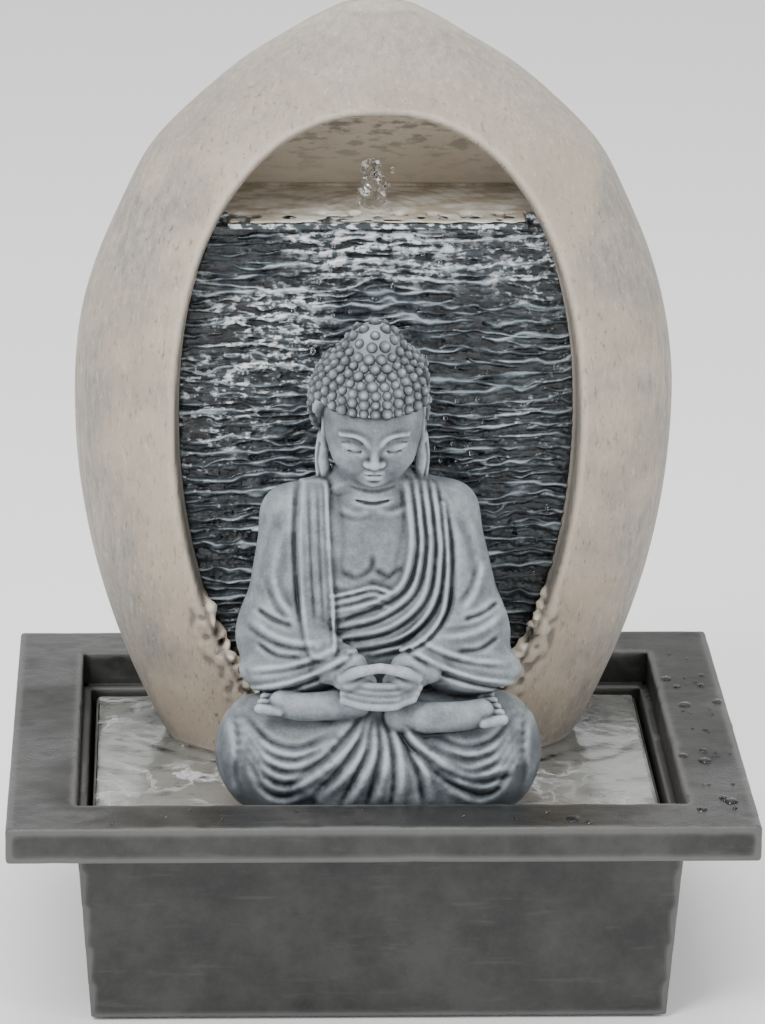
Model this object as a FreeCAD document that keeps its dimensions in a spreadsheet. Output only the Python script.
import FreeCAD, Part

import math
import os
import re

# Tabletop water fountain. Millimetres, +Z up, front towards -Y, origin under the middle of the
# object at the surface it stands on.

DOC = FreeCAD.newDocument("Fountain")
SHEET = DOC.addObject("Spreadsheet::Sheet", "Sizes")
CLEAR_THROUGH = 5.0  # how far a cutting tool runs past the face that it leaves

SIZES = {
    # basin
    "rim_length": 300,
    "rim_width": 240,
    "rim_top": 96,
    "rim_band": 28,
    "rim_thick": 15,
    "rim_overhang": 27.5,
    "box_taper": 5.5,
    "basin_wall": 3.6,
    "floor_thick": 5,
    "notch_width": 9,
    "notch_depth": 8,
    # feet under the basin
    "foot_radius": 8,
    "foot_thick": 2,
    "foot_recess": 1,
    "foot_inset": 20,
    # plinth
    "deck_top": 78,
    "deck_thick": 6,
    "deck_gap": 2.1,
    "skirt_gap": 3.5,
    "skirt_wall": 4,
    "deck_round": 3,
    "arch_width": 14,
    "arch_height": 10,
    "hose_hole": 8,
    # egg-shaped shell
    "egg_half": 124.4,
    "egg_wide_z": 228,
    "egg_upper": 178.6,
    "egg_lower": 308,
    "egg_tip": 40,
    "egg_depth_half": 64.7,
    "shell_y": 42,
    "shell_back": 83,
    "shell_back_wall": 10,
    "shell_wall": 14,
    "niche_wall": 10,
    # opening in the front of the shell
    "open_half": 81,
    "open_up": 129.4,
    "open_down": 150,
    "open_z": 227,
    "sill_z": "=deck_top + 14",
    "collar_wall": 6,
    "ledge_width": 6,
    "ledge_thick": 4,
    # slate wall
    "wall_top_y": 15,
    "wall_lean": 2.5,
    "wall_thick": 6,
    "wall_clear": 0.5,
    "slate_pitch": 4.6,
    "slate_step": 1.6,
    # upper pool
    "weir_z": 308,
    "lip_thick": 2,
    "lip_half": 61,
    "lip_front": 10.5,
    "pool_seat": 290,
    "pool_rim": 310,
    "pool_floor": 3,
    "pool_wall": 2.4,
    "pool_clear": 1,
    # bubbler nozzle
    "nozzle_y": 33,
    "nozzle_bore": 2.2,
    "nozzle_stem": 4,
    "nozzle_flange": 7,
    "nozzle_flange_thick": 2,
    "nozzle_top": 304,
    "nozzle_end": 268,
    "stem_clear": 0.2,
    "seal_radius": 8,
    "seal_thick": 1.5,
    "nut_flats": 13,
    "nut_thick": 4.5,
    # hose
    "hose_inner": 3.5,
    "hose_wall": 1.5,
    "barb_clear": 0.05,
    "clip_wire": 0.9,
    # rear hatch
    "hatch_half": 48,
    "hatch_low": 112,
    "hatch_high": 272,
    "hatch_thick": 3,
    "hatch_clear": 0.4,
    "hatch_ledge": 5,
    "hatch_lip": 4,
    "hatch_lip_wall": 2,
    "hatch_notch": 8,
    # pump
    "spigot_x": 20,
    "pump_y": 44,
    "pump_half": 17,
    "cup_height": 6,
    "motor_length": 36,
    "chamber_length": 12,
    "case_wall": 2,
    "cap_thick": 2,
    "spigot_length": 16,
    "rotor_bore": 9,
    "rotor_tube_wall": 1.2,
    "rotor_depth": 22.5,
    "chamber_bore": 13,
    "chamber_floor": 1,
    "shaft_radius": 1,
    "shaft_clear": 0.06,
    "bush_fit": 0.02,
    "rear_bush_radius": 4,
    "bush_length": 3,
    "front_bush_radius": 2.5,
    "magnet_radius": 8.2,
    "magnet_length": 17.5,
    "sleeve_radius": 2.5,
    "magnet_fit": 0.05,
    "impeller_radius": 11.5,
    "vane_height": 6.4,
    "vane_thick": 1,
    "vane_count": 6,
    "cover_thick": 3,
    "inlet_radius": 1.8,
    "inlet_gap": 3.5,
    "inlet_count": 6,
    "seal_section": 0.8,
    "seal_ring": 14.8,
    "sponge_thick": 5,
    "sponge_half": 14.5,
    "intake_wall": 1.8,
    "intake_clear": 0.3,
    "intake_overlap": 7,
    "intake_depth": 10.2,
    "slot_width": 1.6,
    "slot_height": 24,
    "slot_pitch": 3,
    "slot_first": 9,
    "dial_radius": 7,
    "dial_thick": 2.5,
    "dial_stem": 2,
    "dial_clear": 0.05,
    "dial_gap": 0.2,
    "port_radius": 1.4,
    "port_circle": 4.8,
    "port_count": 4,
    "core_thick": 3.2,
    "core_height": 14,
    "core_gap": 0.3,
    "coil_length": 10,
    "coil_half": 9.5,
    "gland_radius": 4,
    "gland_length": 9,
    "cord_bore": 2.6,
    "suction_radius": 7,
    # screws
    "screw_radius": 1.75,
    "screw_head": 3.6,
    "screw_head_thick": 2.6,
    "screw_bite": 12,
    "small_screw": 1.2,
    "small_head": 2.4,
    "small_head_thick": 1.8,
    "small_bite": 4,
    "hole_clear": 0.3,
    # seated figure
    "figure_x": -1,
    "figure_y": -46,
    "knee_half": 67,
    "leg_half_depth": 38,
    "leg_half_height": 28,
    "leg_z": "=deck_top + 25",
    "torso_half": 41,
    "torso_half_depth": 22,
    "torso_z": "=deck_top + 82",
    "shoulder_half": 40,
    "shoulder_z": "=deck_top + 119",
    "head_x": -3.5,
    "head_y": -38,
    "head_half": 21,
    "head_half_height": 33,
    "head_z": "=deck_top + 163",
    "hair_half": 26.7,
    "hair_z": "=deck_top + 175",
    "hair_half_height": 24,
    "crown_z": "=deck_top + 207",
    "arm_half": 12,
    "elbow_half": 43,
    "elbow_z": "=deck_top + 54",
    "hand_z": "=deck_top + 64",
    "hand_y": -68,
    "hand_half": 22,
    "hand_half_depth": 13,
    "hand_half_height": 10,
    "forearm_half": 27,
    "forearm_half_depth": 17,
    "forearm_half_height": 12,
    "foot_half": 24,
    "foot_half_depth": 9,
    "foot_half_height": 7,
    "figure_hollow": 27,
    "figure_screw_x": 40,
}


def fill_sheet():
    """Puts every size in the sheet, with its alias."""
    for row, (alias, value) in enumerate(SIZES.items(), start=1):
        SHEET.set("A%d" % row, alias)
        SHEET.set("B%d" % row, str(value))
        SHEET.setAlias("B%d" % row, alias)
    DOC.recompute()


def size(alias):
    """The number that the sheet holds under this alias."""
    return float(SHEET.get(alias))


WORD = re.compile(r"\b[a-z]+(?:_[a-z]+)*\b")


def linked(expression):
    """The expression with each alias written as a reference to the sheet."""
    return WORD.sub(lambda word: "Sizes." + word[0] if word[0] in SIZES else word[0], str(expression))


def value_of(expression):
    """The number that an expression of aliases comes to."""
    probe = DOC.addObject("App::FeaturePython", "Probe")
    probe.addProperty("App::PropertyFloat", "Result")
    probe.setExpression("Result", linked(expression))
    probe.recompute()
    result = probe.Result
    DOC.removeObject(probe.Name)
    return result


def bind(item, **expressions):
    """Binds properties of a document object to expressions of aliases."""
    for name, expression in expressions.items():
        item.setExpression(name, linked(expression))


def place(item, x=0, y=0, z=0):
    """Binds an object's position."""
    for axis, expression in zip("xyz", (x, y, z)):
        item.setExpression("Placement.Base." + axis, linked(expression))
    return item


def new(kind, label):
    """A new document object with this label."""
    item = DOC.addObject(kind, label)
    item.Label = label
    return item


# ---------------------------------------------------------------------------------------------
# Building blocks, all bound to the sheet

TURN = {
    "x": FreeCAD.Rotation(FreeCAD.Vector(0, 1, 0), 90),
    "y": FreeCAD.Rotation(FreeCAD.Vector(1, 0, 0), -90),
    "z": FreeCAD.Rotation(),
}


def block(label, x, y, z):
    """A box from three (low, high) pairs of expressions."""
    item = new("Part::Box", label)
    spans = {"Length": x, "Width": y, "Height": z}
    for name, (low, high) in spans.items():
        bind(item, **{name: "(%s) - (%s)" % (high, low)})
    return place(item, x[0], y[0], z[0])


def rod(label, radius, start, length, axis="z"):
    """A cylinder that runs from start along +axis."""
    item = new("Part::Cylinder", label)
    bind(item, Radius=radius, Height=length)
    item.Placement = FreeCAD.Placement(FreeCAD.Vector(), TURN[axis])
    return place(item, *start)


def taper(label, radius, end_radius, start, length, axis="z"):
    """A cone that runs from start along +axis."""
    item = new("Part::Cone", label)
    bind(item, Radius1=radius, Radius2=end_radius, Height=length)
    item.Placement = FreeCAD.Placement(FreeCAD.Vector(), TURN[axis])
    return place(item, *start)


def hopper(label, low, high):
    """A four-sided tapered block. low and high each give half length, half width and height."""
    item = new("Part::Wedge", label)
    bind(item, Xmin="-(%s)" % low[0], Xmax=low[0], Zmin="-(%s)" % low[1], Zmax=low[1])
    bind(item, X2min="-(%s)" % high[0], X2max=high[0], Z2min="-(%s)" % high[1], Z2max=high[1])
    bind(item, Ymin=0, Ymax="(%s) - (%s)" % (high[2], low[2]))
    item.Placement = FreeCAD.Placement(FreeCAD.Vector(), FreeCAD.Rotation(FreeCAD.Vector(1, 0, 0), 90))
    return place(item, 0, 0, low[2])


def ball(label, centre, half):
    """An ellipsoid from its centre and its half sizes along x, y and z."""
    item = new("Part::Ellipsoid", label)
    bind(item, Radius1=half[2], Radius2=half[0], Radius3=half[1])
    return place(item, *centre)


def join(label, items):
    """All the items as one solid."""
    item = new("Part::MultiFuse", label)
    item.Shapes = items
    item.Refine = True
    return item


def less(label, base, tools):
    """The base with the tools cut out of it one after another."""
    for count, tool in enumerate(tools, start=1):
        item = new("Part::Cut", label if count == len(tools) else "%s_cut" % label)
        item.Base = base
        item.Tool = tool
        base = item
    return base


def shared(label, items):
    """Only what all the items hold in common."""
    item = new("Part::MultiCommon", label)
    item.Shapes = items
    return item


def group(label, items):
    """Separate solids kept side by side in one sub-part."""
    item = new("Part::Compound", label)
    item.Links = items
    return item


def shaped(label, shape):
    """A shape from Part's own functions, as a document object."""
    item = new("Part::Feature", label)
    item.Shape = shape
    return item


# ---------------------------------------------------------------------------------------------
# Forms that the primitives don't have


def depth_ratio():
    """How much shallower than wide the shell is."""
    return size("egg_depth_half") / size("egg_half")


def stretched(y):
    """A place along Y as it is before the shell is pressed to its real depth."""
    return size("shell_y") + (y - size("shell_y")) / depth_ratio()


def pressed(shape):
    """A shape that was drawn about a round egg, pressed along Y to the shell's real depth."""
    squeeze = FreeCAD.Matrix()
    squeeze.move(FreeCAD.Vector(0, -size("shell_y"), 0))
    squeeze.scale(1, depth_ratio(), 1)
    squeeze.move(FreeCAD.Vector(0, size("shell_y"), 0))
    return shape.transformGeometry(squeeze)


def round_egg(inset, base):
    """The pointed egg as a solid of revolution, inset evenly, from the height base upwards."""
    half = size("egg_half") - inset
    upper = size("egg_upper") - inset
    lower = size("egg_lower") - inset
    tip = size("egg_tip") - inset
    wide = size("egg_wide_z")
    shift = upper - half
    tip_z = wide + math.sqrt((upper - tip) ** 2 - shift ** 2)
    tip_angle = math.atan2(tip_z - wide, shift)
    foot_angle = -math.asin((wide - base) / lower)

    def on_arc(centre_x, centre_z, radius, angle):
        return FreeCAD.Vector(
            centre_x + radius * math.cos(angle),
            0,
            centre_z + radius * math.sin(angle),
        )

    foot = on_arc(half - lower, wide, lower, foot_angle)
    widest = FreeCAD.Vector(half, 0, wide)
    start_of_tip = on_arc(-shift, wide, upper, tip_angle)
    top = FreeCAD.Vector(0, 0, tip_z + tip)
    centre_foot = FreeCAD.Vector(0, 0, base)
    edges = [
        Part.LineSegment(centre_foot, foot),
        Part.Arc(foot, on_arc(half - lower, wide, lower, foot_angle / 2), widest),
        Part.Arc(widest, on_arc(-shift, wide, upper, tip_angle / 2), start_of_tip),
        Part.Arc(start_of_tip, on_arc(0, tip_z, tip, (tip_angle + math.pi / 2) / 2), top),
        Part.LineSegment(top, centre_foot),
    ]
    face = Part.Face(Part.Wire([edge.toShape() for edge in edges]))
    axis = FreeCAD.Vector(0, 0, 1)
    quarters = []
    for index in range(4):
        start = face.copy()
        start.rotate(FreeCAD.Vector(), axis, 90 * index)
        quarters.append(start.revolve(FreeCAD.Vector(), axis, 90))
    solid = quarters[0].fuse(quarters[1:])
    solid.translate(FreeCAD.Vector(0, size("shell_y"), 0))
    return solid


def stretched_room(front, back, low, high):
    """A wide block in the stretched space, between two real depths and two heights."""
    span = size("rim_length") * 2
    start = stretched(front)
    return Part.makeBox(
        span,
        stretched(back) - start,
        high - low,
        FreeCAD.Vector(-span / 2, start, low),
    )


def oval(grow, low_z, front, back):
    """A prism along Y with the outline of the opening, grown evenly, cut off flat at low_z."""
    half = size("open_half") + grow
    centre = FreeCAD.Vector(0, front, size("open_z"))
    side = centre + FreeCAD.Vector(half, 0, 0)
    arcs = []
    for reach in (size("open_up") + grow, -(size("open_down") + grow)):
        crest = centre + FreeCAD.Vector(0, 0, reach)
        ellipse = Part.Ellipse(crest, side, centre)
        arcs.append(Part.ArcOfEllipse(ellipse, -math.pi / 2, math.pi / 2).toShape())
    face = Part.Face(Part.Wire(Part.sortEdges(arcs)[0]))
    prism = face.extrude(FreeCAD.Vector(0, back - front, 0))
    span = 2 * half + 2 * CLEAR_THROUGH
    keep = Part.makeBox(
        span,
        back - front,
        size("rim_length") * 2,
        FreeCAD.Vector(-span / 2, front, low_z),
    )
    return prism.common(keep)


def leaning(shape):
    """The shape, drawn with the slate wall's front on the XZ plane, moved to where the wall leans."""
    top = FreeCAD.Vector(0, size("wall_top_y"), size("weir_z"))
    turn = FreeCAD.Rotation(FreeCAD.Vector(1, 0, 0), -size("wall_lean"))
    moved = shape.copy()
    moved.Placement = FreeCAD.Placement(top, turn)
    return moved


def leaning_room(front, back, top_z):
    """The stretched room between two depths from the slate wall's leaning front, up to top_z."""
    return side_profile([(leaning_y(front, 0), 0), (leaning_y(back, 0), 0),
                         (leaning_y(back, top_z), top_z), (leaning_y(front, top_z), top_z)])


def leaning_y(depth, height):
    """The real place along Y of a depth behind the slate wall's leaning front."""
    return wall_front_y(height) + depth


def side_profile(corners):
    """A wide stretched prism along X from real (y, z) corners."""
    span = size("rim_length") * 2
    points = [FreeCAD.Vector(-span / 2, stretched(y), z) for y, z in corners]
    return Part.Face(Part.makePolygon(points + points[:1])).extrude(FreeCAD.Vector(span, 0, 0))


def pool_prism(label, inset, low, high):
    """An upright prism that fits the hollow over the pool at the rim's height, inset all round."""
    upper = size("egg_upper") - size("niche_wall")
    shift = size("egg_upper") - size("egg_half")
    room = math.sqrt(upper ** 2 - (size("pool_rim") - size("egg_wide_z")) ** 2) - shift
    half = room - inset
    depth = room * depth_ratio() - inset
    centre = FreeCAD.Vector(0, size("shell_y"), low)
    ellipse = Part.Ellipse(
        centre + FreeCAD.Vector(half, 0, 0), centre + FreeCAD.Vector(0, depth, 0), centre
    )
    face = Part.Face(Part.Wire(ellipse.toShape()))
    return shaped(label, face.extrude(FreeCAD.Vector(0, 0, high - low)))


def rounded_path(points):
    """Straight runs joined by tangent arcs, each as large as its two runs allow."""
    points = [FreeCAD.Vector(*point) for point in points]
    edges = []
    start = points[0]
    for before, corner, after in zip(points, points[1:], points[2:]):
        back = (before - corner).normalize()
        ahead = (after - corner).normalize()
        reach = 0.45 * min((before - corner).Length, (after - corner).Length)
        half_turn = (math.pi - back.getAngle(ahead)) / 2
        radius = reach / math.tan(half_turn)
        print("hose bend radius %.0f mm" % radius)
        first = corner + back * reach
        last = corner + ahead * reach
        towards = (back + ahead).normalize()
        middle = corner + towards * (radius / math.cos(half_turn) - radius)
        edges.append(Part.LineSegment(start, first).toShape())
        edges.append(Part.Arc(first, middle, last).toShape())
        start = last
    edges.append(Part.LineSegment(start, points[-1]).toShape())
    return Part.Wire(edges)


# ---------------------------------------------------------------------------------------------
# Heights and places that several sub-parts share

fill_sheet()

BASIN_BOTTOM = "foot_thick - foot_recess"
FLOOR = "foot_thick - foot_recess + floor_thick"
RIM_UNDER = "rim_top - rim_thick"
BOX_HALF = ("rim_length / 2 - rim_overhang", "rim_width / 2 - rim_overhang")
BASE_HALF = tuple(half + " - box_taper" for half in BOX_HALF)
WELL_TOP_HALF = ("rim_length / 2 - rim_band", "rim_width / 2 - rim_band")
WELL_HALF = tuple(half + " - basin_wall" for half in BOX_HALF)
WELL_FLOOR_HALF = tuple(half + " - basin_wall" for half in BASE_HALF)
DECK_HALF = tuple(half + " - deck_gap" for half in WELL_HALF)
SKIRT_HALF = tuple(half + " - skirt_gap" for half in WELL_FLOOR_HALF)
DECK_UNDER = "deck_top - deck_thick"
POOL_TOP_OF_FLOOR = "pool_seat + pool_floor"
PUMP_AXIS_Z = FLOOR + " + cup_height + pump_half"
PUMP_TOP_Z = FLOOR + " + cup_height + 2 * pump_half"
CHAMBER_BACK = "spigot_x - chamber_length / 2"
CHAMBER_FRONT = "spigot_x + chamber_length / 2"
MOTOR_BACK = CHAMBER_BACK + " - motor_length"
COVER_FRONT = CHAMBER_FRONT + " + cover_thick"
INTAKE_INSIDE = COVER_FRONT + " + intake_depth - cover_thick"
INTAKE_FRONT = INTAKE_INSIDE + " + intake_wall"


def around(expression, half):
    """A (low, high) pair centred on an expression."""
    return ("%s - (%s)" % (expression, half), "%s + (%s)" % (expression, half))


def both(half):
    """A (low, high) pair centred on zero."""
    return ("-(%s)" % half, half)


# ---------------------------------------------------------------------------------------------
# Basin and its feet


def foot_places():
    """Centres of the four feet, in from the corners of the basin's base."""
    for side_x in ("", "-"):
        for side_y in ("", "-"):
            yield (
                "%s(%s - foot_inset)" % (side_x, BASE_HALF[0]),
                "%s(%s - foot_inset)" % (side_y, BASE_HALF[1]),
            )


def make_basin():
    outside = hopper("basin_box", (*BASE_HALF, BASIN_BOTTOM), (*BOX_HALF, RIM_UNDER))
    rim = block("basin_rim", both("rim_length / 2"), both("rim_width / 2"), (RIM_UNDER, "rim_top"))
    past = "rim_top + %g" % CLEAR_THROUGH
    flare = "(rim_overhang - rim_band + basin_wall) / (rim_top - deck_top) * %g" % CLEAR_THROUGH
    mouth_half = tuple("%s + %s" % (half, flare) for half in WELL_TOP_HALF)
    well = hopper("basin_well", (*WELL_FLOOR_HALF, FLOOR), (*WELL_HALF, "deck_top"))
    mouth = hopper("basin_mouth", (*WELL_HALF, "deck_top"), (*mouth_half, past))
    notch = block(
        "basin_notch",
        both("notch_width / 2"),
        (WELL_TOP_HALF[1] + " - %g" % CLEAR_THROUGH, "rim_width / 2 + %g" % CLEAR_THROUGH),
        ("rim_top - notch_depth", past),
    )
    recesses = [
        rod("basin_recess", "foot_radius", (x, y, BASIN_BOTTOM), "foot_recess")
        for x, y in foot_places()
    ]
    less("basin", join("basin_solid", [outside, rim]), [well, mouth, notch] + recesses)


def make_foot_pads():
    pads = [rod("foot_pad", "foot_radius", (x, y, 0), "foot_thick") for x, y in foot_places()]
    group("foot_pads", pads)


# ---------------------------------------------------------------------------------------------
# Plinth


def screw_places():
    """Centres of the screws that hold the shell, along the middle of its foot's wall."""
    drop = "sqrt(egg_lower ^ 2 - (egg_wide_z - deck_top) ^ 2)"
    half = "(egg_half - egg_lower + %s)" % drop
    across = "(%s - shell_wall / 2)" % half
    deep = "(%s * egg_depth_half / egg_half - shell_wall / 2)" % half
    for angle in (15, 165, -40, -140):
        yield ("%s * cos(%d deg)" % (across, angle), "shell_y + %s * sin(%d deg)" % (deep, angle))


def figure_screw_places():
    for side in ("-", "+"):
        yield ("figure_x %s figure_screw_x" % side, "figure_y")


def make_plinth():
    outside = hopper("plinth_outside", (*SKIRT_HALF, FLOOR), (*DECK_HALF, "deck_top"))
    DOC.recompute()
    top = [
        index + 1
        for index, edge in enumerate(outside.Shape.Edges)
        if all(abs(vertex.Z - size("deck_top")) < 0.01 for vertex in edge.Vertexes)
    ]
    softened = new("Part::Fillet", "plinth_softened")
    softened.Base = outside
    softened.Edges = [(index, size("deck_round"), size("deck_round")) for index in top]
    inner_low = tuple(half + " - skirt_wall" for half in SKIRT_HALF)
    inner_high = tuple(half + " - skirt_wall" for half in DECK_HALF)
    hollow = hopper("plinth_hollow", (*inner_low, FLOOR), (*inner_high, DECK_UNDER))
    past = "%g" % CLEAR_THROUGH
    arches = []
    for x in ("-rim_length / 4", "0", "rim_length / 4"):
        arches.append(
            block(
                "plinth_arch",
                around(x, "arch_width / 2"),
                both("rim_width / 2"),
                (FLOOR, FLOOR + " + arch_height"),
            )
        )
    for y in ("-rim_width / 8", "rim_width / 8"):
        arches.append(
            block(
                "plinth_side_arch",
                both("rim_length / 2"),
                around(y, "arch_width / 2"),
                (FLOOR, FLOOR + " + arch_height"),
            )
        )
    hose = rod(
        "plinth_hose_hole",
        "hose_hole",
        ("spigot_x", "pump_y", DECK_UNDER + " - " + past),
        "deck_thick + 2 * " + past,
    )
    holes = [
        rod(
            "plinth_screw_hole",
            "screw_radius + hole_clear",
            (x, y, DECK_UNDER + " - " + past),
            "deck_thick + 2 * " + past,
        )
        for x, y in [*screw_places(), *figure_screw_places()]
    ]
    less("plinth", softened, [hollow, hose] + arches + holes)


def base_screw(label, x, y):
    """A screw driven up through the plinth's deck."""
    head = rod(
        label + "_head",
        "screw_head",
        (x, y, DECK_UNDER + " - screw_head_thick"),
        "screw_head_thick",
    )
    shank = rod(label + "_shank", "screw_radius", (x, y, DECK_UNDER), "deck_thick + screw_bite")
    return join(label, [head, shank])


def make_base_screws():
    group("shell_screws", [base_screw("shell_screw", x, y) for x, y in screw_places()])
    group("figure_screws", [base_screw("figure_screw", x, y) for x, y in figure_screw_places()])


# ---------------------------------------------------------------------------------------------
# Egg-shaped shell, its hatch and the slate wall


def wall_front_y(height):
    """Where the slate wall's leaning front stands at this height."""
    return size("wall_top_y") - (size("weir_z") - height) * math.tan(math.radians(size("wall_lean")))


def wall_screw_spots():
    """Where the slate wall's screws stand, as x and height."""
    for height in (size("open_z") + size("open_up") / 4, size("open_z") - size("open_down") / 2):
        reach = size("open_up") if height > size("open_z") else size("open_down")
        half = size("open_half") * math.sqrt(1 - ((height - size("open_z")) / reach) ** 2)
        for side in (-1, 1):
            yield (side * (half - size("ledge_width") / 2), height)


def wall_screw_tools(radius, front, back, place_y=float):
    """Level cylinders at the slate wall's screws, between two depths from the wall's front."""
    tools = []
    for x, z in wall_screw_spots():
        start = place_y(wall_front_y(z) + front)
        end = place_y(wall_front_y(z) + back)
        tools.append(
            Part.makeCylinder(
                radius,
                end - start,
                FreeCAD.Vector(x, start, z),
                FreeCAD.Vector(0, 1, 0),
            ),
        )
    return tools


def hatch_block(label, shrink, low, high):
    """A block along Y with the hatch's outline, smaller all round by shrink."""
    return block(
        label,
        both("hatch_half - (%s)" % shrink),
        (low, high),
        ("hatch_low + (%s)" % shrink, "hatch_high - (%s)" % shrink),
    )


def hatch_room(shrink, front, back):
    """The stretched room with the hatch's outline, smaller all round by shrink."""
    half = size("hatch_half") - shrink
    start = stretched(front)
    tall = size("hatch_high") - size("hatch_low") - 2 * shrink
    corner = FreeCAD.Vector(-half, start, size("hatch_low") + shrink)
    return Part.makeBox(2 * half, stretched(back) - start, tall, corner)


def make_niche_shell():
    """The shell is cut out of a round egg, pressed to its depth and then drilled."""
    deck = size("deck_top")
    seat = size("pool_seat")
    sill = size("sill_z")
    peak = size("rim_length") * 2
    far = size("rim_width") * 2
    back = size("shell_back")
    back_inside = back - size("shell_back_wall")
    ledge_front = size("wall_thick") + size("wall_clear")
    ledge_back = ledge_front + size("ledge_thick")
    pool_front = size("wall_top_y") + size("wall_thick") + size("wall_clear")
    high_front = pool_front - size("wall_clear") / 2

    collar = oval(size("collar_wall"), 0, -far, far)
    lower = round_egg(size("shell_wall"), deck - CLEAR_THROUGH)
    lower = lower.common(stretched_room(-far, back_inside, 0, seat))
    lower = lower.cut(collar.common(leaning_room(-far, ledge_back, seat)))
    upper = round_egg(size("niche_wall"), deck)
    upper = upper.common(stretched_room(-far, back_inside, seat, peak))
    upper = upper.cut(collar.common(stretched_room(-far, high_front, seat, peak)))

    solid = round_egg(0, deck).common(stretched_room(-far, back, 0, peak))
    deep = back_inside - size("shell_back_wall")
    opening = side_profile(
        [
            (-far, 0),
            (leaning_y(ledge_front, 0), 0),
            (leaning_y(ledge_front, seat), seat),
            (deep, seat),
            (deep, peak),
            (-far, peak),
        ]
    )
    front_room = oval(0, sill, -far * 2, far).common(opening)
    ledge_room = oval(-size("ledge_width"), sill, -far, stretched(size("shell_y")))
    rooms = [
        lower,
        upper,
        ledge_room,
        front_room,
        hatch_room(size("hatch_ledge"), size("shell_y"), back + size("hatch_half")),
        hatch_room(0, back - size("hatch_thick"), back + size("hatch_half")),
    ]
    clear = size("small_screw") + size("hole_clear") / 2
    rooms += wall_screw_tools(clear, ledge_front - 1, ledge_back + CLEAR_THROUGH, stretched)
    body = shaped("shell_body", pressed(solid.cut(rooms)))
    pilots = [
        rod("shell_pilot", "screw_radius + hole_clear / 4", (x, y, "deck_top - 1"), "screw_bite + 2")
        for x, y in screw_places()
    ]
    less("niche_shell", body, pilots)


def make_rear_hatch():
    plate = hatch_block("hatch_plate", "hatch_clear", "shell_back - hatch_thick", "shell_back")
    lip_edge = "hatch_ledge + hatch_clear"
    lip_front = "shell_back - hatch_thick - hatch_lip"
    lip = less(
        "hatch_lip_ring",
        hatch_block("hatch_lip_block", lip_edge, lip_front, "shell_back - hatch_thick"),
        [
            hatch_block(
                "hatch_lip_room",
                lip_edge + " + hatch_lip_wall",
                lip_front + " - 1",
                "shell_back - hatch_thick",
            ),
        ],
    )
    finger = rod(
        "hatch_finger",
        "hatch_notch",
        (0, "shell_back - hatch_thick - 1", "hatch_high"),
        "hatch_thick + 2",
        "y",
    )
    trimmed = block(
        "hatch_finger_room",
        both("hatch_notch"),
        ("shell_back - hatch_thick - 1", "shell_back + 1"),
        ("hatch_high - hatch_ledge", "hatch_high + 1"),
    )
    notch = shared("hatch_finger_notch", [finger, trimmed])
    less("rear_hatch", join("hatch_solid", [plate, lip]), [notch])


def make_slate_wall():
    """A panel whose front is cut in level steps, like stacked slate."""
    thick = size("wall_thick")
    step = size("slate_step")
    pitch = size("slate_pitch")
    half = size("open_half") + CLEAR_THROUGH
    points = [FreeCAD.Vector(-half, thick, 0), FreeCAD.Vector(-half, 0, 0)]
    height = 0.0
    while height > size("sill_z") - size("weir_z") - 2 * pitch:
        height -= pitch
        points.append(FreeCAD.Vector(-half, -step * 0.2, height + pitch * 0.25))
        points.append(FreeCAD.Vector(-half, step * 0.8, height))
    points.append(FreeCAD.Vector(-half, thick, height))
    profile = Part.Face(Part.makePolygon(points + points[:1]))
    slab = leaning(profile.extrude(FreeCAD.Vector(2 * half, 0, 0)))
    low = size("sill_z")
    far = size("rim_width")
    outline = shaped("wall_outline", oval(-size("wall_clear"), low, -far, far))
    level = shaped(
        "wall_level",
        Part.makeBox(
            2 * far,
            2 * far,
            size("weir_z") - size("lip_thick"),
            FreeCAD.Vector(-far, -far, 0),
        ),
    )
    panel = shared("wall_panel", [shaped("wall_slab", slab), outline, level])
    pilots = [
        shaped("wall_pilot", tool)
        for tool in wall_screw_tools(size("small_screw") * 1.02, thick - size("small_bite"), thick + 1)
    ]
    less("slate_wall", panel, pilots)

    # the level heads stand off the leaning ledge by what their edge would sink into it
    stand_off = size("small_head") * math.tan(math.radians(size("wall_lean")))
    seat = thick + size("wall_clear") + size("ledge_thick") + stand_off
    shanks = wall_screw_tools(size("small_screw"), thick - size("small_bite"), seat)
    heads = wall_screw_tools(size("small_head"), seat, seat + size("small_head_thick"))
    screws = [
        join("wall_screw", [shaped("wall_shank", shank), shaped("wall_head", head)])
        for shank, head in zip(shanks, heads)
    ]
    group("wall_screws", screws)


# ---------------------------------------------------------------------------------------------
# Upper pool, nozzle and hose


def make_upper_pool():
    seat = size("pool_seat")
    wall = size("pool_wall")
    rim = size("pool_rim")
    gap = size("pool_clear")
    front = "wall_top_y + wall_thick + 2 * wall_clear"
    back = "shell_back - shell_back_wall - pool_clear"
    wide = both("rim_length / 2")
    outside = shared(
        "pool_outside",
        [
            pool_prism("pool_outline", gap, seat, rim),
            block("pool_span", wide, (front, back), (0, "pool_rim")),
        ],
    )
    inside = shared(
        "pool_inside",
        [
            pool_prism("pool_room_outline", gap + wall, seat, rim + CLEAR_THROUGH),
            block(
                "pool_room",
                wide,
                (front + " + pool_wall", back + " - pool_wall"),
                (POOL_TOP_OF_FLOOR, "pool_rim + %g" % CLEAR_THROUGH),
            ),
        ],
    )
    spill = block(
        "pool_spill",
        both("lip_half"),
        ("lip_front - 1", front + " + pool_wall + 1"),
        ("weir_z", "pool_rim + %g" % CLEAR_THROUGH),
    )
    hole = rod(
        "pool_hole",
        "nozzle_stem + stem_clear",
        (0, "nozzle_y", "pool_seat - 1"),
        "pool_floor + 2",
    )
    lip = block(
        "pool_lip",
        both("lip_half"),
        ("lip_front", front + " + pool_wall"),
        ("weir_z - lip_thick", "weir_z"),
    )
    tray = less("pool_tray", outside, [inside, spill, hole])
    join("upper_pool", [tray, lip])


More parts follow.
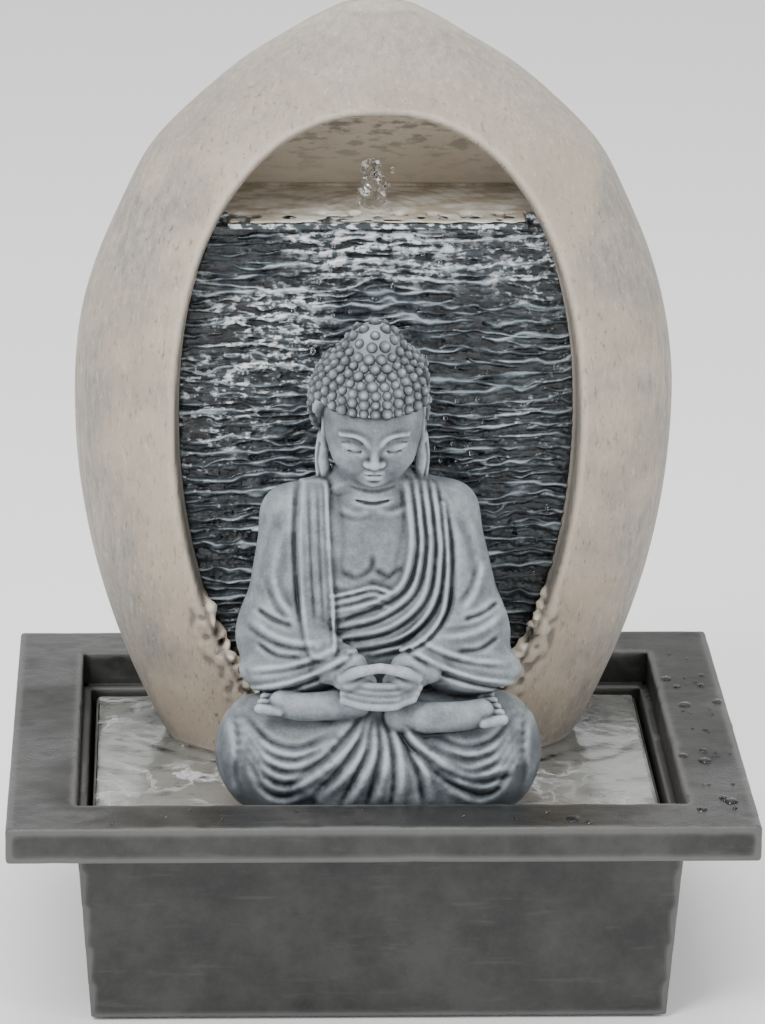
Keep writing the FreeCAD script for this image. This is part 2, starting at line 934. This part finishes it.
def make_nozzle():
    place_x, place_y = 0, "nozzle_y"
    flange_top = POOL_TOP_OF_FLOOR + " + nozzle_flange_thick"
    nut_under = "pool_seat - seal_thick - nut_thick"
    barb = "hose_inner - barb_clear"
    solid = join(
        "nozzle_solid",
        [
            rod(
                "nozzle_flange_disc",
                "nozzle_flange",
                (place_x, place_y, POOL_TOP_OF_FLOOR),
                "nozzle_flange_thick",
            ),
            taper(
                "nozzle_cone",
                "nozzle_stem + 1",
                "nozzle_bore + 1",
                (place_x, place_y, flange_top),
                "nozzle_top - (%s)" % flange_top,
            ),
            rod(
                "nozzle_thread",
                "nozzle_stem",
                (place_x, place_y, nut_under),
                "%s - (%s)" % (flange_top, nut_under),
            ),
            rod("nozzle_barb", barb, (place_x, place_y, "nozzle_end"), "%s - nozzle_end" % nut_under),
        ],
    )
    bore = rod(
        "nozzle_bore_tool",
        "nozzle_bore",
        (place_x, place_y, "nozzle_end - 1"),
        "nozzle_top - nozzle_end + 2",
    )
    less("bubbler_nozzle", solid, [bore])

    ring = rod("seal_disc", "seal_radius", (place_x, place_y, "pool_seat - seal_thick"), "seal_thick")
    ring_hole = rod(
        "seal_hole",
        "nozzle_stem + stem_clear",
        (place_x, place_y, "pool_seat - seal_thick - 1"),
        "seal_thick + 2",
    )
    less("nozzle_seal", ring, [ring_hole])

    hexagon = new("Part::Prism", "nut_hexagon")
    hexagon.Polygon = 6
    bind(hexagon, Circumradius="nut_flats / sqrt(3)", Height="nut_thick")
    place(hexagon, place_x, place_y, nut_under)
    nut_hole = rod(
        "nut_hole",
        "nozzle_stem + stem_clear / 4",
        (place_x, place_y, nut_under + " - 1"),
        "nut_thick + 2",
    )
    less("nozzle_nut", hexagon, [nut_hole])


HOSE_BENDS = [(20, 44, 86), (15, 47, 124), (8, 46, 164), (1, 39, 202), (0, 33, 240)]


def make_hose():
    """The hose from the pump's spigot to the nozzle, in one sweep of easy bends."""
    low = value_of(PUMP_TOP_Z) + 2
    high = value_of("pool_seat - seal_thick - nut_thick")
    start = (size("spigot_x"), size("pump_y"), low)
    end = (0, size("nozzle_y"), high)
    path = rounded_path([start] + HOSE_BENDS + [end])
    inner = size("hose_inner")
    outer = inner + size("hose_wall")
    tubes = []
    for radius in (outer, inner):
        ring = Part.Wire(Part.makeCircle(radius, FreeCAD.Vector(*start), FreeCAD.Vector(0, 0, 1)))
        tubes.append(path.makePipeShell([ring], True, False))
    hose = tubes[0].cut(tubes[1])
    expected = math.pi * (outer ** 2 - inner ** 2) * path.Length
    print("hose length %.1f mm, volume %.0f of %.0f" % (path.Length, hose.Volume, expected))
    shaped("riser_hose", hose)

    clip = new("Part::Torus", "hose_clip_coil")
    bind(clip, Radius1="hose_inner + hose_wall + clip_wire", Radius2="clip_wire")
    place(clip, 0, "nozzle_y", "pool_seat - seal_thick - nut_thick - 6")
    ears = [
        rod(
            "hose_clip_ear",
            "clip_wire",
            (
                x,
                "nozzle_y + hose_inner + hose_wall + clip_wire",
                "pool_seat - seal_thick - nut_thick - 6",
            ),
            "6",
            "y",
        )
        for x in ("-clip_wire * 1.5", "clip_wire * 1.5")
    ]
    join("hose_clip", [clip] + ears)


# ---------------------------------------------------------------------------------------------
# Pump


def pump_block(label, x, half):
    """A square block about the pump's axis, between two places along X."""
    return block(label, x, around("pump_y", half), around(PUMP_AXIS_Z, half))


def pump_rod(label, radius, start, length):
    """A cylinder on the pump's axis."""
    return rod(label, radius, (start, "pump_y", PUMP_AXIS_Z), length, "x")


def make_pump_housing():
    case = pump_block("pump_case", (MOTOR_BACK, CHAMBER_FRONT), "pump_half")
    spigot = rod(
        "pump_spigot",
        "hose_inner - barb_clear",
        ("spigot_x", "pump_y", PUMP_TOP_Z + " - 1"),
        "spigot_length + 1",
    )
    room = pump_block(
        "pump_room",
        (MOTOR_BACK + " - 1", CHAMBER_BACK + " - case_wall"),
        "pump_half - case_wall",
    )
    shell = less("pump_shell", join("pump_outside", [case, spigot]), [room])
    tube_end = CHAMBER_BACK + " - rotor_depth - rotor_tube_wall"
    tube = pump_rod(
        "pump_rotor_tube",
        "rotor_bore + rotor_tube_wall",
        tube_end,
        "rotor_depth + rotor_tube_wall",
    )
    bore = pump_rod(
        "pump_rotor_bore",
        "rotor_bore",
        CHAMBER_BACK + " - rotor_depth",
        "rotor_depth + chamber_length",
    )
    chamber = pump_rod(
        "pump_chamber",
        "chamber_bore",
        CHAMBER_BACK + " + chamber_floor",
        "chamber_length",
    )
    outlet = rod(
        "pump_outlet",
        "nozzle_bore",
        ("spigot_x", "pump_y", PUMP_AXIS_Z),
        "pump_half + spigot_length + 1",
    )
    groove_depth = "2 * seal_section + 0.1"
    groove = less(
        "pump_groove",
        pump_rod(
            "pump_groove_out",
            "seal_ring + seal_section + 0.1",
            CHAMBER_FRONT + " - (%s)" % groove_depth,
            "5",
        ),
        [pump_rod("pump_groove_in", "seal_ring - seal_section - 0.1", CHAMBER_FRONT + " - 10", "20")],
    )
    less("pump_housing", join("pump_body", [shell, tube]), [bore, chamber, outlet, groove])


def make_pump_back():
    cap = pump_block("cap_plate", (MOTOR_BACK + " - cap_thick", MOTOR_BACK), "pump_half")
    hole = pump_rod("cap_hole", "gland_radius - 1", MOTOR_BACK + " - cap_thick - 1", "cap_thick + 2")
    less("pump_rear_cap", cap, [hole])

    collar = taper(
        "gland_cone",
        "cord_bore + 1.2",
        "gland_radius",
        (MOTOR_BACK + " - cap_thick - gland_length", "pump_y", PUMP_AXIS_Z),
        "gland_length",
        "x",
    )
    neck = pump_rod("gland_neck", "gland_radius - 1", MOTOR_BACK + " - cap_thick", "cap_thick")
    blind = pump_rod(
        "gland_bore",
        "cord_bore",
        MOTOR_BACK + " - cap_thick - gland_length - 1",
        "gland_length + 1",
    )
    less("cable_gland", join("gland_solid", [collar, neck]), [blind])

    inner = "rotor_bore + rotor_tube_wall + core_gap"
    bridge_back = MOTOR_BACK + " + case_wall"
    bridge = block(
        "core_bridge",
        (
            bridge_back + " + (coil_length - core_thick) / 2",
            bridge_back + " + (coil_length + core_thick) / 2",
        ),
        around("pump_y", inner + " + core_thick"),
        around(PUMP_AXIS_Z, "core_height / 2"),
    )
    legs = [
        block(
            "core_leg",
            (bridge_back + " + (coil_length - core_thick) / 2", CHAMBER_BACK + " - 2 * case_wall"),
            (
                "pump_y %s (%s)%s" % (side, inner, " - core_thick" if side == "-" else ""),
                "pump_y %s (%s)%s" % (side, inner, " + core_thick" if side == "+" else ""),
            ),
            around(PUMP_AXIS_Z, "core_height / 2"),
        )
        for side in ("-", "+")
    ]
    join("stator_core", [bridge] + legs)

    winding = pump_block("coil_winding", (bridge_back, bridge_back + " + coil_length"), "coil_half")
    window = block(
        "coil_window",
        (
            bridge_back + " + (coil_length - core_thick) / 2 - 0.2",
            bridge_back + " + (coil_length + core_thick) / 2 + 0.2",
        ),
        around("pump_y", "pump_half"),
        around(PUMP_AXIS_Z, "core_height / 2 + 0.2"),
    )
    less("stator_coil", winding, [window])


def make_rotor():
    bore_end = CHAMBER_BACK + " - rotor_depth"
    shaft_length = "rotor_depth + chamber_length + cover_thick - 1"
    pump_rod("impeller_shaft", "shaft_radius", bore_end, shaft_length)

    rear = pump_rod("rear_bush_solid", "rear_bush_radius", bore_end, "bush_length")
    rear_hole = pump_rod(
        "rear_bush_hole",
        "shaft_radius + bush_fit",
        bore_end + " - 1",
        "bush_length + 2",
    )
    less("rear_bush", rear, [rear_hole])

    front_start = CHAMBER_FRONT + " - 1"
    front = pump_rod("front_bush_solid", "front_bush_radius", front_start, "cover_thick + 1")
    front_hole = pump_rod(
        "front_bush_hole",
        "shaft_radius + bush_fit",
        front_start + " - 1",
        "cover_thick + 3",
    )
    less("front_bush", front, [front_hole])

    magnet_back = bore_end + " + bush_length + 1"
    magnet = pump_rod("magnet_solid", "magnet_radius", magnet_back, "magnet_length")
    magnet_hole = pump_rod(
        "magnet_hole",
        "sleeve_radius + magnet_fit",
        magnet_back + " - 1",
        "magnet_length + 2",
    )
    less("rotor_magnet", magnet, [magnet_hole])

    sleeve_back = bore_end + " + bush_length + 0.5"
    disc_back = CHAMBER_BACK + " + chamber_floor + 0.8"
    disc_thick = "1.4"
    sleeve = pump_rod(
        "impeller_sleeve",
        "sleeve_radius",
        sleeve_back,
        "%s - (%s)" % (disc_back, sleeve_back),
    )
    disc = pump_rod("impeller_disc", "impeller_radius - 0.5", disc_back, disc_thick)
    hub = pump_rod("impeller_hub", "sleeve_radius + 0.5", disc_back, "%s + vane_height" % disc_thick)
    DOC.recompute()
    vanes = []
    for index in range(int(size("vane_count"))):
        vane = new("Part::Box", "impeller_vane")
        bind(
            vane,
            Length="%s + vane_height" % disc_thick,
            Width="vane_thick",
            Height="impeller_radius - shaft_radius * 1.6",
        )
        turn = FreeCAD.Rotation(FreeCAD.Vector(1, 0, 0), 360.0 * index / size("vane_count"))
        vane.Placement = FreeCAD.Placement(FreeCAD.Vector(), turn)
        lean = turn.multVec(FreeCAD.Vector(0, -size("vane_thick") / 2, size("shaft_radius") * 1.6))
        place(vane, disc_back, "pump_y + (%.6f)" % lean.y, PUMP_AXIS_Z + " + (%.6f)" % lean.z)
        vanes.append(vane)
    hole = pump_rod(
        "impeller_hole",
        "shaft_radius + shaft_clear",
        sleeve_back + " - 1",
        "rotor_depth + chamber_length",
    )
    less("impeller", join("impeller_solid", [sleeve, disc, hub] + vanes), [hole])


def make_pump_front():
    plate = pump_block("volute_plate", (CHAMBER_FRONT, COVER_FRONT), "pump_half")
    bush_hole = pump_rod(
        "volute_bush_hole",
        "front_bush_radius + bush_fit",
        CHAMBER_FRONT + " - 1",
        "cover_thick + 2",
    )
    inlets = []
    count = int(size("inlet_count"))
    for index in range(count):
        angle = 360 / count * index
        inlets.append(
            rod(
                "volute_inlet",
                "inlet_radius",
                (
                    CHAMBER_FRONT + " - 1",
                    "pump_y + (front_bush_radius + inlet_gap) * cos(%g deg)" % angle,
                    PUMP_AXIS_Z + " + (front_bush_radius + inlet_gap) * sin(%g deg)" % angle,
                ),
                "cover_thick + 2",
                "x",
            )
        )
    less("volute_cover", plate, [bush_hole] + inlets)

    seal = new("Part::Torus", "volute_seal")
    bind(seal, Radius1="seal_ring", Radius2="seal_section")
    seal.Placement = FreeCAD.Placement(FreeCAD.Vector(), TURN["x"])
    place(seal, CHAMBER_FRONT + " - seal_section - 0.05", "pump_y", PUMP_AXIS_Z)

    foam = pump_block(
        "sponge_solid",
        (COVER_FRONT + " + 0.2", COVER_FRONT + " + 0.2 + sponge_thick"),
        "sponge_half",
    )
    foam_hole = pump_rod("sponge_hole", "dial_stem + 1.6", COVER_FRONT, "sponge_thick + 2")
    less("filter_sponge", foam, [foam_hole])

    inner_half = "pump_half + intake_clear"
    outside = pump_block(
        "intake_outside",
        (CHAMBER_FRONT + " - intake_overlap", INTAKE_FRONT),
        inner_half + " + intake_wall",
    )
    inside = pump_block(
        "intake_inside",
        (CHAMBER_FRONT + " - intake_overlap - 1", INTAKE_INSIDE),
        inner_half,
    )
    stem_hole = pump_rod(
        "intake_stem_hole",
        "dial_stem + dial_clear",
        INTAKE_INSIDE + " - 1",
        "intake_wall + 2",
    )
    slots = []
    for side in ("-", "+"):
        for index in range(3):
            slots.append(
                block(
                    "intake_slot",
                    (INTAKE_INSIDE + " - 1", INTAKE_FRONT + " + 1"),
                    around(
                        "pump_y %s (slot_first + %d * slot_pitch)" % (side, index),
                        "slot_width / 2",
                    ),
                    around(PUMP_AXIS_Z, "slot_height / 2"),
                )
            )
    hose_slot = block(
        "intake_hose_slot",
        (
            CHAMBER_FRONT + " - intake_overlap - 1",
            "spigot_x + hose_inner + hose_wall + 2 * intake_clear",
        ),
        around("pump_y", "hose_inner + hose_wall + 2 * intake_clear"),
        (PUMP_AXIS_Z, PUMP_TOP_Z + " + intake_clear + intake_wall + 1"),
    )
    ports = port_tools("intake_port", INTAKE_INSIDE + " - 1", "intake_wall + 2")
    less("intake_cover", outside, [inside, stem_hole, hose_slot] + slots + ports)

    dial_back = INTAKE_FRONT + " + dial_gap"
    dial = pump_rod("dial_disc", "dial_radius", dial_back, "dial_thick")
    stem = pump_rod(
        "dial_stem_rod",
        "dial_stem",
        INTAKE_INSIDE + " - 1.1",
        "intake_wall + dial_gap + 1.6",
    )
    keeper = pump_rod("dial_keeper", "dial_stem + 1.2", INTAKE_INSIDE + " - 1.1", "1")
    grip = block(
        "dial_grip",
        (dial_back + " + dial_thick - 0.5", dial_back + " + dial_thick + 2"),
        around("pump_y", "1"),
        around(PUMP_AXIS_Z, "dial_radius - 1.5"),
    )
    less(
        "flow_regulator",
        join("dial_solid", [dial, stem, keeper, grip]),
        port_tools("dial_port", dial_back + " - 0.05", "dial_thick + 3"),
    )


def port_tools(label, start, length):
    """Four ports about the dial's stem, turned clear of the dial's grip."""
    tools = []
    for index in range(int(size("port_count"))):
        angle = 45 + 360 / size("port_count") * index
        tools.append(
            rod(
                label,
                "port_radius",
                (
                    start,
                    "pump_y + port_circle * cos(%g deg)" % angle,
                    PUMP_AXIS_Z + " + port_circle * sin(%g deg)" % angle,
                ),
                length,
                "x",
            )
        )
    return tools


def make_suction_cups():
    cups = []
    for x in (MOTOR_BACK + " + suction_radius", CHAMBER_BACK + " - suction_radius + 2"):
        for side in ("-", "+"):
            centre = (x, "pump_y %s (pump_half - suction_radius - 0.5)" % side)
            skirt = taper(
                "cup_skirt",
                "suction_radius",
                "suction_radius / 2",
                (*centre, FLOOR),
                "cup_height / 2",
            )
            neck = rod(
                "cup_neck",
                "suction_radius / 2",
                (*centre, FLOOR + " + cup_height / 2"),
                "cup_height / 2",
            )
            cups.append(join("suction_cup", [skirt, neck]))
    group("suction_cups", cups)


# ---------------------------------------------------------------------------------------------
# Seated figure, a hollow casting


def lofted(label, sections):
    """A solid through level ellipses, each given as (half width, half depth, x, y, z)."""
    rings = []
    for half_x, half_y, x, y, z in sections:
        ring = new("Part::Ellipse", label + "_ring")
        bind(ring, MajorRadius=half_x, MinorRadius=half_y)
        rings.append(place(ring, x, y, z))
    item = new("Part::Loft", label)
    item.Sections = rings
    item.Solid = True
    return item


def halves(limb):
    """The three half sizes of one of the figure's limbs."""
    return (limb + "_half", limb + "_half_depth", limb + "_half_height")


def make_figure():
    mid = "figure_x"
    back = "figure_y + 9"
    torso = lofted(
        "figure_torso",
        [
            ("torso_half - 2", "torso_half_depth", mid, back, "leg_z - 12"),
            ("torso_half - 3", "torso_half_depth", mid, back, "leg_z + 27"),
            ("torso_half", "torso_half_depth", mid + " - 2", back, "torso_z + 5"),
            ("shoulder_half + 2", "torso_half_depth - 2", mid + " - 4", back, "shoulder_z - 8"),
            ("shoulder_half * 0.8", "torso_half_depth * 0.75", mid + " - 4", back, "shoulder_z + 6"),
            ("head_half * 0.6", "head_half * 0.55", "head_x", "head_y + 1", "shoulder_z + 14"),
        ],
    )
    head = lofted(
        "figure_head",
        [
            (
                "head_half * 0.5",
                "head_half * 0.5",
                "head_x",
                "head_y + 1",
                "head_z - head_half_height - 4",
            ),
            (
                "head_half * 0.65",
                "head_half * 0.64",
                "head_x",
                "head_y",
                "head_z - head_half_height * 0.8",
            ),
            ("head_half", "head_half * 0.98", "head_x", "head_y", "head_z - head_half_height * 0.3"),
            ("hair_half * 0.9", "hair_half * 0.88", "head_x", "head_y", "head_z"),
            ("hair_half", "hair_half * 0.97", "head_x", "head_y", "hair_z"),
            (
                "hair_half * 0.8",
                "hair_half * 0.78",
                "head_x",
                "head_y",
                "hair_z + hair_half_height * 0.6",
            ),
            (
                "hair_half * 0.42",
                "hair_half * 0.4",
                "head_x",
                "head_y",
                "hair_z + hair_half_height * 0.95",
            ),
            ("hair_half * 0.12", "hair_half * 0.11", "head_x", "head_y", "crown_z"),
        ],
    )
    legs = ball(
        "figure_legs",
        (mid, "figure_y", "leg_z"),
        ("knee_half", "leg_half_depth", "leg_half_height"),
    )
    hands = ball("figure_hands", (mid, "hand_y", "hand_z"), halves("hand"))
    parts = [legs, hands]
    for side in ("-", "+"):
        upper_arm = (mid + " - 3 %s elbow_half" % side, "figure_y + 8", "(shoulder_z + elbow_z) / 2")
        arm_sizes = ("arm_half", "arm_half + 4", "(shoulder_z - elbow_z) / 2 + 12")
        parts.append(ball("figure_arm", upper_arm, arm_sizes))
        forearm = (mid + " %s elbow_half * 0.6" % side, "(figure_y + hand_y) / 2 + 2", "hand_z")
        parts.append(ball("figure_forearm", forearm, halves("forearm")))
        foot = (mid + " %s knee_half * 0.45" % side, "figure_y - 24", "leg_z + 11")
        parts.append(ball("figure_foot", foot, halves("foot")))
    limbs = join("figure_limbs", parts)
    whole = join("figure_whole", [join("figure_trunk", [torso, head]), limbs])
    above = block(
        "figure_above",
        both("rim_length / 2"),
        both("rim_width"),
        ("deck_top", "rim_length * 2"),
    )
    cast = shared("figure_cast", [whole, above])
    hollow = ball(
        "figure_hollow_form",
        (mid, "figure_y + 3", "deck_top"),
        ("figure_hollow", "figure_hollow - 8", "torso_z - 12 - deck_top"),
    )
    pilots = [
        rod("figure_pilot", "screw_radius + hole_clear / 4", (x, y, "deck_top - 1"), "screw_bite + 2")
        for x, y in figure_screw_places()
    ]
    less("seated_figure", cast, [hollow] + pilots)


NODES = [
    "basin",
    "foot_pads",
    "plinth",
    "shell_screws",
    "figure_screws",
    "niche_shell",
    "rear_hatch",
    "slate_wall",
    "wall_screws",
    "upper_pool",
    "bubbler_nozzle",
    "nozzle_seal",
    "nozzle_nut",
    "riser_hose",
    "hose_clip",
    "pump_housing",
    "pump_rear_cap",
    "cable_gland",
    "stator_core",
    "stator_coil",
    "impeller_shaft",
    "rear_bush",
    "front_bush",
    "rotor_magnet",
    "impeller",
    "volute_cover",
    "volute_seal",
    "filter_sponge",
    "intake_cover",
    "flow_regulator",
    "suction_cups",
    "seated_figure",
]

make_basin()
make_foot_pads()
make_plinth()
make_base_screws()
make_niche_shell()
make_rear_hatch()
make_slate_wall()
make_upper_pool()
make_nozzle()
make_hose()
make_pump_housing()
make_pump_back()
make_rotor()
make_pump_front()
make_suction_cups()
make_figure()

DOC.recompute()

for item in DOC.Objects:
    faults = [state for state in item.State if state in ("Invalid", "Error")]
    if faults:
        raise SystemExit("%s is %s" % (item.Label, faults))

os.makedirs("parts", exist_ok=True)
for label in NODES:
    found = DOC.getObjectsByLabel(label)
    shape = found[0].Shape if found else None
    if shape is None or shape.isNull() or not shape.isValid() or not shape.Solids:
        raise SystemExit("%s has no valid shape" % label)
    print("%-16s %2d solid(s) %9.0f mm3" % (label, len(shape.Solids), shape.Volume))
    shape.exportStep("parts/%s.step" % label)
